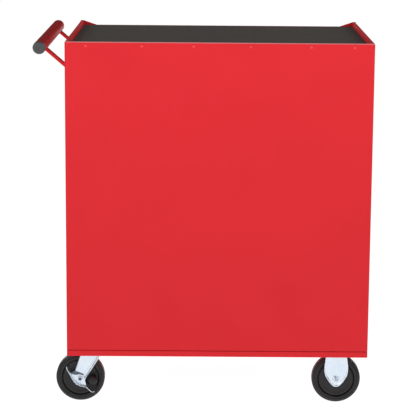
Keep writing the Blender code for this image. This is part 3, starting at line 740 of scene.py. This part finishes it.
def make_slides(index):
    for side, way in (("left", -1), ("right", 1)):
        node = f"slide_outer_{index}_{side}"
        low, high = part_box(node)
        inner_low, inner_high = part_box(f"slide_inner_{index}_{side}")
        lip = inner_high.x if way < 0 else inner_low.x
        lip += way * (0.003 - GAP)
        web = lip + way * 0.012
        path = [(lip, low.z + 0.0035), (lip, low.z), (web, low.z)]
        path += [(web, high.z), (lip, high.z), (lip, high.z - 0.0035)]
        channel = folded(path, -way * SHEET, 0.0026, low.y, high.y, XZ)
        wall = low.x if way < 0 else high.x
        middle = (low.z + high.z) / 2
        shapes = [channel]
        for foot in SLIDE_FEET:
            y = Y0 + foot
            x0, x1 = sorted((web - way * 0.0004, wall))
            shapes.append(block(x0, x1, y, y + SLIDE_FOOT_LENGTH, middle - 0.014, middle + 0.014, 0.0010))
            for turn in (-0.007, 0.007):
                spot = (web - way * (SHEET - 0.0002), y + SLIDE_FOOT_LENGTH / 2, middle + turn)
                shapes.append(placed(RIVET, AGAINST_X if way > 0 else ALONG_X, *spot))
        show(f"slide_rail_{index}_{side}", shapes, SLIDE, "cabinet", [node])
        near = inner_low.x if way > 0 else inner_high.x
        far = inner_high.x if way > 0 else inner_low.x
        path = [(far, inner_low.z), (near, inner_low.z), (near, inner_high.z), (far, inner_high.z)]
        runner = folded(path, way * SHEET, 0.0024, inner_low.y, inner_high.y, XZ)
        stop_x = sorted((near + way * 0.0002, near + way * 0.006))
        stop_y = (inner_high.y - 0.006, inner_high.y - 0.001)
        bumper = block(*stop_x, *stop_y, middle - 0.008, middle + 0.008, 0.0008)
        show(f"slide_runner_{index}_{side}", [runner, bumper], SLIDE, f"drawer_{index}",
             [f"slide_inner_{index}_{side}"])


def make_lock():
    low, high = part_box("lock_housing")
    x, z = (low.x + high.x) / 2, (low.z + high.z) / 2
    bezel, barrel, bore = 0.0125, 0.0095, 0.0060
    housing = [
        (bore, 0.0030), (bore + 0.0006, 0.0037), (bezel - 0.0038, 0.0037), (bezel - 0.0016, 0.0030),
        (bezel - 0.0003, 0.0016), (bezel, 0.0010), (bezel, GAP), (barrel, GAP),
        (barrel, -0.022), (bore, -0.022),
    ]
    ring = turned(housing, 48, AGAINST_Y, closed=True)
    nut = plate([arc(0, 0, 0.0135, 0, 300, 6), arc(0, 0, 0.0096, 0, 345, 24)], -0.0062, -0.0022, XY, 0.0005)
    show("lock_bezel", [moved(ring, x, Y0, z), placed(nut, AGAINST_Y, x, Y0, z)], CHROME, "cabinet",
         ["lock_housing"])
    face = [(0, 0.0031), (0.0046, 0.0031), (0.0054, 0.0024), (0.0055, 0.0010), (0.0055, -0.026), (0, -0.026)]
    plug = turned(face, 40, AGAINST_Y)
    keyway = plate([rounded(-0.0007, 0.0007, -0.0036, 0.0036, 0.0006)], -0.006, 0.0, XZ, 0)
    plug = cut(plug, keyway)
    arm = filleted([(0.006, -0.006), (0.006, 0.006), (-0.020, 0.004), (-0.020, -0.004)], 0.0035, closed=True)
    cam = plate([arm], 0.0230, 0.0250, XZ, 0.0003)
    show("lock_key_plug", [moved(plug, x, Y0, z), moved(cam, x, Y0, z)], CHROME, "lock_plug_body",
         ["lock_plug"])


# ---------------------------------------------------------------- push handle
def make_handle():
    low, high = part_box("handle_tube")
    x, z, radius = (low.x + high.x) / 2, (low.z + high.z) / 2, (high.z - low.z) / 2
    inner = radius - 0.0015
    tube = [
        (radius - 0.0003, high.y), (radius, high.y - 0.0003), (radius, low.y + 0.0003),
        (radius - 0.0003, low.y), (inner, low.y), (inner, high.y),
    ]
    bar = moved(turned(tube, 72, ALONG_Y, closed=True), x, 0, z)
    show("push_bar", [bar], HANDLE_SHADED_RED, "cabinet", ["handle_tube"])
    for end, place in (("rear", ALONG_Y), ("front", AGAINST_Y)):
        cap_low, cap_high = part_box(f"handle_cap_{end}")
        face = cap_high.y if end == "rear" else -cap_low.y
        edge = high.y + GAP if end == "rear" else -low.y + GAP
        depth = face - edge
        cap = [(0, face - 0.0006), (radius * 0.42, face - 0.0006)]
        cap += [(radius * 0.50, face), (radius * 0.66, face - 0.0002)]
        cap += [(radius - 0.0048 + px, face - 0.0050 + pz) for px, pz in arc(0, 0, 0.0048, 76, 0, 6)]
        cap += [(radius, face - depth + 0.0004), (radius - 0.0003, face - depth), (inner - GAP, face - depth)]
        cap += [(inner - GAP, face - depth - 0.012), (0, face - depth - 0.012)]
        show(f"bar_end_{end}", [moved(turned(cap, 64, place), x, 0, z)], CAP, "cabinet",
             [f"handle_cap_{end}"])
        make_arm(end, x, z, radius)


def make_arm(end, tube_x, tube_z, radius):
    """A flat bar from its screwed foot on the side panel up to the tube, cut round to fit it."""
    node = f"handle_arm_{end}"
    low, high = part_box(node)
    rise = math.tan(ARM_SLOPE)
    up = ARM_THICKNESS / 2 / math.cos(ARM_SLOPE)
    foot_x, foot_out = low.x, low.x + ARM_FOOT
    axis_z = tube_z - (tube_x - X1) * rise
    bend = axis_z + (foot_out - X1) * rise
    reach = high.x
    top_z = axis_z + (reach - X1) * rise
    outline = [
        (foot_x, low.z), (foot_out, low.z), (foot_out, bend - up), (reach, top_z - up),
        (reach, top_z + up), (foot_x, bend + up - ARM_FOOT * rise),
    ]
    outline = filleted(outline, 0.0030, closed=True)
    bar = plate([outline], low.y, high.y, XZ, 0.0010)
    reach_in = radius + 0.0002
    room = [(reach_in, 0.05), (reach_in, -0.05), (0, -0.05), (0, 0.05)]
    room = turned(room, 48, ALONG_Y, closed=True)
    bar = cut(bar, moved(room, tube_x, (low.y + high.y) / 2, tube_z))
    show(f"handle_bracket_{end}", [bar], RED, "cabinet", [node])
    middle = (low.y + high.y) / 2
    screws = [placed(BIG_SCREW, ALONG_X, foot_out, middle, low.z + lift) for lift in (0.008, 0.024)]
    show(f"bracket_screws_{end}", screws, ZINC, "cabinet")


# ---------------------------------------------------------------- casters
def wheel_shapes(radius):
    """Tyre and hub, turned about Y at the origin."""
    half = WHEEL_WIDTH / 2
    groove = radius * GROOVE_SHARE
    shoulder = 0.0058
    side = [
        (groove - 0.0012, half - 0.0058), (groove + 0.0004, half - 0.0030), (groove + 0.0016, half - 0.0016),
        (groove + 0.0034, half - 0.0010), (radius - 0.0092, half - 0.0011), (radius - 0.0086, half - 0.0002),
        (radius - 0.0076, half), (radius - 0.0068, half - 0.0007), (radius - 0.0064, half - 0.0018),
    ]
    bend = arc(0, 0, shoulder, 78, 6, 7)
    side += [(radius - shoulder + px, half - 0.0022 - shoulder + pz) for px, pz in bend]
    side += [(radius - 0.0001, 0.0030), (radius - 0.0001, 0.0008), (radius, 0.0004)]
    tyre = side + [(r, -h) for r, h in reversed(side)]
    tyre = turned(tyre, 96, ALONG_Y, closed=True)
    face = [
        (0.0046, half + 0.0010), (0.0098, half + 0.0010), (0.0112, half + 0.0004), (0.0128, half - 0.0006),
        (0.0170, half - 0.0022), (0.0230, half - 0.0034), (groove - 0.0125, half - 0.0036),
        (groove - 0.0110, half - 0.0028), (groove - 0.0058, half - 0.0022), (groove - 0.0040, half - 0.0024),
        (groove - 0.0026, half - 0.0034), (groove - 0.0020, half - 0.0058), (groove - 0.0006, half - 0.0062),
    ]
    hub = face + [(r, -h) for r, h in reversed(face)]
    return tyre, turned(hub, 96, ALONG_Y, closed=True)


def make_wheel(kind, end):
    node = f"{kind}_{end}_wheel"
    low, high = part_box(node)
    centre = (low + high) / 2
    tyre, hub = wheel_shapes((high.z - low.z) / 2)
    body = node + "_body"
    show(f"{kind}_{end}_tyre", [moved(tyre, *centre)], RUBBER, body, [node])
    show(f"{kind}_{end}_hub", [moved(hub, *centre)], HUB, body)
    return centre


def top_plate_shapes(x, y, thickness):
    """A round-cornered plate under the base with four bolts."""
    half_x, half_y = CASTER_PLATE
    outline = rounded(-half_x, half_x, -half_y, half_y, CASTER_PLATE_CORNER)
    shapes = [moved(plate([outline], CASTER_TOP - thickness, CASTER_TOP, XY, 0.0006), x, y)]
    for bolt_x in (-CASTER_BOLTS[0], CASTER_BOLTS[0]):
        for bolt_y in (-CASTER_BOLTS[1], CASTER_BOLTS[1]):
            for shape in CASTER_BOLT:
                shapes.append(placed(shape, AGAINST_Z, x + bolt_x, y + bolt_y, CASTER_TOP - thickness))
    return shapes


def pressed_leg(outline, way, inner):
    """A leg pressed with a rolled rim, its rings going over the rim to the flat. way is +1 for the +Y leg."""
    smooth = filleted(outline, 0.006, closed=True, steps=4)
    if not inside(beside(smooth, 0.001, closed=True)[0], smooth):
        smooth = smooth[::-1]
    outer = inner + FORK_SHEET
    section = [
        (0.0, inner), (0.0, outer - 0.0004), (0.0006, outer + 0.0006),
        (0.0016, outer + 0.0010), (0.0026, outer + 0.0008), (0.0034, outer + 0.0001),
        (0.0042, outer - 0.0006), (0.0052, outer - 0.0009),
    ]
    bm = bmesh.new()
    rows = []
    for inset, y in section:
        ring = beside(smooth, inset, closed=True) if inset else smooth
        rows.append([bm.verts.new((spot[0], way * y, spot[1])) for spot in ring])
    count = len(smooth)
    for outside_row, inside_row in zip(rows, rows[1:]):
        for i in range(count):
            after = (i + 1) % count
            bm.faces.new((outside_row[i], outside_row[after], inside_row[after], inside_row[i]))
    bm.faces.new(rows[-1])
    bm.faces.new(rows[0][::-1])
    return take_mesh(bm)


def inside(spot, outline):
    """Whether a point lies in an outline, by counting the edges to its right."""
    found = False
    for a, b in zip(outline, outline[1:] + outline[:1]):
        if (a[1] > spot[1]) != (b[1] > spot[1]):
            if spot[0] < (b[0] - a[0]) * (spot[1] - a[1]) / (b[1] - a[1]) + a[0]:
                found = not found
    return found


def make_axle(kind, end, centre, outer, washer, body):
    """The axle bolt with a head on each leg, and the peened end on the outer head."""
    head = hex_head(AXLE_HEAD_RADIUS, AXLE_HEAD_HEIGHT)
    seat = outer + washer + GAP
    shapes = [placed(shape, ALONG_Y, centre.x, centre.y + seat, centre.z) for shape in head]
    shapes += [placed(shape, AGAINST_Y, centre.x, centre.y - outer - GAP, centre.z) for shape in head]
    end_y = outer + 0.0086
    shank = [(0, seat), (AXLE_RADIUS, seat), (AXLE_RADIUS, -end_y + 0.0006), (0.0034, -end_y), (0, -end_y)]
    shapes.append(moved(turned(shank, 32, ALONG_Y), *centre))
    show(f"{kind}_{end}_bolt", shapes, ZINC, body, [f"{kind}_{end}_axle"])
    peened = turned([(0, 0.0014), (0.0016, 0.0016), (0.0034, 0.0011), (0.0042, 0), (0, 0)], 24)
    ends = [placed(peened, ALONG_Y, centre.x, centre.y + seat + 0.0066, centre.z)]
    # the swivel's peened end is dark steel: painted shade, standing in for the dark mark at its axle head
    material = DARK_STEEL_SHADE if kind == "swivel" else SLIDE
    show(f"{kind}_{end}_axle_end", ends, material, body)


def make_rigid_caster(end):
    centre = make_wheel("rigid", end)
    inner = WHEEL_WIDTH / 2 + FORK_CLEARANCE
    outer = inner + FORK_SHEET
    rise = CASTER_TOP - centre.z
    flank = [(-0.0290, rise - 0.0008), (-0.0262, rise - 0.030), (-0.0306, 0.036), (-0.0308, 0.022)]
    flank += [(-0.0280, 0.0095), (-0.0180, -0.0068)]
    leg = flank + arc(0, -0.0050, 0.0145, 218, 322, 9) + [(-px, pz) for px, pz in reversed(flank)]
    shapes = []
    for way in (1, -1):
        shapes.append(moved(pressed_leg(leg, way, inner), *centre))
    shapes += top_plate_shapes(centre.x, centre.y, FORK_SHEET)
    show(f"rigid_{end}_bracket", shapes, ZINC, "cabinet", [f"rigid_{end}_fork"])
    make_axle("rigid", end, centre, outer, 0, "cabinet")


def make_brake(end, centre, outer):
    """The stamped rocker with its rolled rim, the black foot pad on a neck whose blacker plastic is painted
    shade, and a dark steel strip on the leg that is painted shade between the leg and the rocker.
    """
    low = outer + GAP
    body = f"swivel_{end}_brake_body"
    edge = [(0.0350, 0.0320), (0.0326, 0.0230), (0.0257, 0.0117), (0.0200, 0.0003), (0.0146, -0.0085)]
    edge += [(0.0077, -0.0145), (-0.0005, -0.0186), (-0.0089, -0.0207), (-0.0159, -0.0212)]
    strip = [(-0.0215, -0.0278), (-0.0284, -0.0337), (-0.0335, -0.0352), (-0.0372, -0.0330)]
    crest = [(-0.0160, -0.0200), (-0.0125, -0.0060), (-0.0105, 0.0040), (-0.0095, 0.0090), (0.0137, 0.0095)]
    crest += [(0.0240, 0.0130), (0.0310, 0.0230), (0.0342, 0.0318)]
    face = plate([edge + crest], low, low + 0.0020, XZ, 0.0005)
    line = filleted(edge + strip, 0.008, steps=4)
    band = beside(line, 0.0012)
    if not inside(band[len(band) // 3], edge + crest):
        band = beside(line, -0.0012)
    rim = plate([line + band[::-1]], low + 0.0004, low + 0.0088, XZ, 0.0004)
    crown_line = [((a[0] + b[0]) / 2, (a[1] + b[1]) / 2, low + 0.0088) for a, b in zip(line, band)]
    lip = wire(crown_line, 0.0010, XZ)
    ring = [(0.0100, low + 0.0026), (0.0112, low + 0.0020), (0.0046, low + 0.0019), (0.0046, low + 0.0026)]
    hub_ring = turned(ring, 48, ALONG_Y, closed=True)
    dimple = placed(rivet_head(0.0024, 0.0010), ALONG_Y, 0.0012, low + 0.0019, -0.0142)
    shapes = [moved(shape, *centre) for shape in (face, rim, lip, hub_ring, dimple)]
    show(f"swivel_{end}_rocker", shapes, ZINC, body, [f"swivel_{end}_brake"])

    pad_x, pad_z = BRAKE_PAD
    radius = BRAKE_PAD_RADIUS
    neck = arc(pad_x, pad_z, radius - 0.0015, 205, -40, 14)
    neck += [(-0.0195, -0.0160), (-0.0178, -0.0215), (-0.0225, -0.0272), (-0.0290, -0.0322)]
    neck += [(-0.0345, -0.0335), (-0.0395, -0.0280), (-0.0425, -0.0180)]
    stem = plate([filleted(neck, 0.003, closed=True)], low + 0.0010, low + 0.0075, XZ, 0.0008)
    knob = [(0, 0.0128), (0.0020, 0.0127), (0.0055, 0.0122), (0.0060, 0.0126), (0.0082, 0.0119)]
    knob += [(0.0098, 0.0106), (0.0109, 0.0088), (radius, 0.0062), (radius, 0.0040)]
    knob += [(0.0104, 0.0030), (0, 0.0030)]
    knob = turned(knob, 56, ALONG_Y)
    knob = moved(knob, centre.x + pad_x, centre.y + low, centre.z + pad_z)
    show(f"swivel_{end}_foot_pad", [knob], HUB, body)
    # the neck's blacker plastic is painted shade around the pad
    show(f"swivel_{end}_pad_stem_shade", [moved(stem, *centre)], STEM_SHADE, body)
    # a dark steel strip laid on the leg: painted shade between the fork leg and the rocker
    shade_outline = [(0.0250, 0.0138), (0.0128, 0.0205), (0.0060, 0.0158)]
    shade_outline += [(-0.0060, 0.0112), (-0.0094, 0.0098), (0.0130, 0.0090)]
    shade_outline = plate([filleted(shade_outline, 0.002, closed=True)], low + 0.0001, low + 0.0013, XZ, 0.0003)
    show(f"swivel_{end}_shade_arm", [moved(shade_outline, *centre)], DARK_STEEL_SHADE, body)


def make_swivel_caster(end):
    centre = make_wheel("swivel", end)
    inner = WHEEL_WIDTH / 2 + FORK_CLEARANCE
    outer = inner + FORK_SHEET
    plate_low, plate_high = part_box(f"swivel_{end}_plate")
    axis_x, axis_y = (plate_low.x + plate_high.x) / 2, (plate_low.y + plate_high.y) / 2
    crown = CASTER_TOP + GAP - CROWN_DROP
    under = CASTER_TOP - SWIVEL_PLATE_SHEET
    race = [
        (0, under + 0.0005), (0.0310, under + 0.0005), (0.0322, under - 0.0004), (0.0322, under - 0.0024),
        (0.0306, under - 0.0040), (0.0262, under - 0.0046), (0.0250, crown + 0.0078),
        (0.0074, crown + 0.0076), (0.0074, crown - 0.0037), (0.0122, crown - 0.0037),
        (0.0126, crown - 0.0044), (0.0110, crown - 0.0062), (0, crown - 0.0062),
    ]
    shapes = [moved(turned(race, 64), axis_x, axis_y)]
    shapes += top_plate_shapes(axis_x, axis_y, SWIVEL_PLATE_SHEET)
    show(f"swivel_{end}_top_plate", shapes, ZINC, "cabinet", [f"swivel_{end}_plate"])

    fork_body = f"swivel_{end}_fork_body"
    dome = [
        (0.0084, crown + 0.0066), (0.0190, crown + 0.0068), (0.0232, crown + 0.0062),
        (0.0275, crown + 0.0044), (0.0318, crown + 0.0018), (0.0358, crown + 0.0004),
        (0.0364, crown - 0.0006), (0.0360, crown - FORK_SHEET), (0.0084, crown - FORK_SHEET),
    ]
    shapes = [moved(turned(dome, 64, closed=True), axis_x, axis_y)]
    bridge = [(-outer, crown - 0.014), (-outer, crown), (outer, crown), (outer, crown - 0.014)]
    bridge = folded(bridge, -FORK_SHEET, 0.0048, -0.0165, 0.0345, YZ, 0.0006)
    hole = turned([(0.0083, 0.02), (0.0083, -0.02), (0, -0.02), (0, 0.02)], 40, closed=True)
    bridge = cut(bridge, moved(hole, 0, 0, crown))
    shapes.append(moved(bridge, axis_x, axis_y))
    crest = crown - 0.0062 - centre.z
    leg = [(-0.0540, crest), (-0.0500, 0.0560), (-0.0142, -0.0015)]
    leg += arc(0, 0, 0.0145, 200, 350, 9)
    leg += [(0.0130, 0.0205), (0.0010, 0.0560), (-0.0035, crest)]
    for way in (1, -1):
        shapes.append(moved(pressed_leg(leg, way, inner), *centre))
    show(f"swivel_{end}_yoke", shapes, ZINC, fork_body, [f"swivel_{end}_fork"])
    make_axle("swivel", end, centre, outer, BRAKE_WASHER, fork_body)
    make_brake(end, centre, outer)


# ---------------------------------------------------------------- stage, lights, camera
def make_floor():
    bpy.ops.mesh.primitive_plane_add(size=FLOOR_SIZE, location=(0, 0, -FLOOR_DROP))
    floor = bpy.context.object
    floor.name = "studio_floor"
    surface = Surface("pale_floor", (0.24, 0.24, 0.24), 0.8, Specular_ior_level=0.05)
    surface.tint(surface.span(surface.noise(2.0, 3.0), 0.4, 0.7, 0.0, 0.3), (0.22, 0.22, 0.22))
    surface.shader.inputs["Emission Color"].default_value = (1.0, 1.0, 1.0, 1)
    surface.shader.inputs["Emission Strength"].default_value = FLOOR_GLOW
    floor.data.materials.append(surface.done())


def make_lights():
    """A dim sky, a little lighter overhead, and four large soft boxes, two behind and two in front."""
    world = bpy.data.worlds.new("studio")
    world.use_nodes = True
    tree = world.node_tree
    split = tree.nodes.new("ShaderNodeSeparateXYZ")
    tree.links.new(tree.nodes.new("ShaderNodeTexCoord").outputs["Generated"], split.inputs["Vector"])
    rise = tree.nodes.new("ShaderNodeValToRGB")
    tree.links.new(split.outputs["Z"], rise.inputs["Fac"])
    stops = rise.color_ramp.elements
    stops.new(SKY_STOPS[1][0])
    for stop, (height, grey) in zip(stops, SKY_STOPS):
        stop.position = height
        stop.color = (grey, grey, grey, 1)
    bright = tree.nodes.new("ShaderNodeMath")
    bright.operation = "MULTIPLY"
    bright.inputs[1].default_value = SKY_STRENGTH
    tree.links.new(rise.outputs["Color"], bright.inputs[0])
    background = tree.nodes["Background"]
    background.inputs["Color"].default_value = (0.97, 0.985, 1.0, 1)
    tree.links.new(bright.outputs[0], background.inputs["Strength"])
    bpy.context.scene.world = world
    for name, x, y, z, power in (
        ("rear_left", -1.8, 3.0, 1.7, 12.6), ("rear_right", 1.8, 3.0, 1.7, 12.6),
        ("front_left", -3.4, -2.4, 2.3, 21), ("front_right", 3.4, -2.4, 2.3, 21),
    ):
        light = bpy.data.lights.new(name, "AREA")
        light.size = LAMP_SIZE
        light.energy = power
        light.spread = math.radians(LAMP_SPREAD)
        lamp = bpy.data.objects.new(name, light)
        lamp.location = (x, y, z)
        aim = Vector(LAMP_AIM) - lamp.location
        lamp.rotation_euler = aim.to_track_quat("-Z", "Y").to_euler()
        bpy.context.scene.collection.objects.link(lamp)


def make_camera():
    data = bpy.data.cameras.new("camera")
    data.sensor_width = 36
    data.lens = LENS
    data.shift_x, data.shift_y = SHIFT
    data.clip_end = 200
    camera = bpy.data.objects.new("camera", data)
    turn = Matrix.Rotation(math.radians(180 - CAMERA_PAN), 4, "Z")
    turn = turn @ Matrix.Rotation(math.radians(-CAMERA_TILT), 4, "X")
    turn = turn @ Matrix.Rotation(math.radians(-CAMERA_ROLL), 4, "Y")
    turn = turn @ Matrix.Rotation(math.radians(90), 4, "X")
    along, back, up = CAMERA_OFFSET
    place = Matrix.Translation((MIDDLE_X + along, Y1 + back, SKIRT_Z + up))
    camera.matrix_world = place @ turn
    bpy.context.scene.collection.objects.link(camera)
    bpy.context.scene.camera = camera


def require_visual_pieces():
    """Every CAD node has to be replaced by a visual piece, so none may still show."""
    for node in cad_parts.values():
        if not node.hide_render:
            raise ValueError("a CAD node has no visual piece: " + node.name)


make_camera()
make_floor()
make_lights()
make_shell()
make_front_frame()
make_tray_and_mat()
make_base()
for number in DRAWERS:
    make_drawer(number)
    make_slides(number)
make_lock()
make_handle()
for corner in ("rear", "front"):
    make_rigid_caster(corner)
    make_swivel_caster(corner)
require_visual_pieces()
bpy.context.scene.view_settings.view_transform = "Standard"
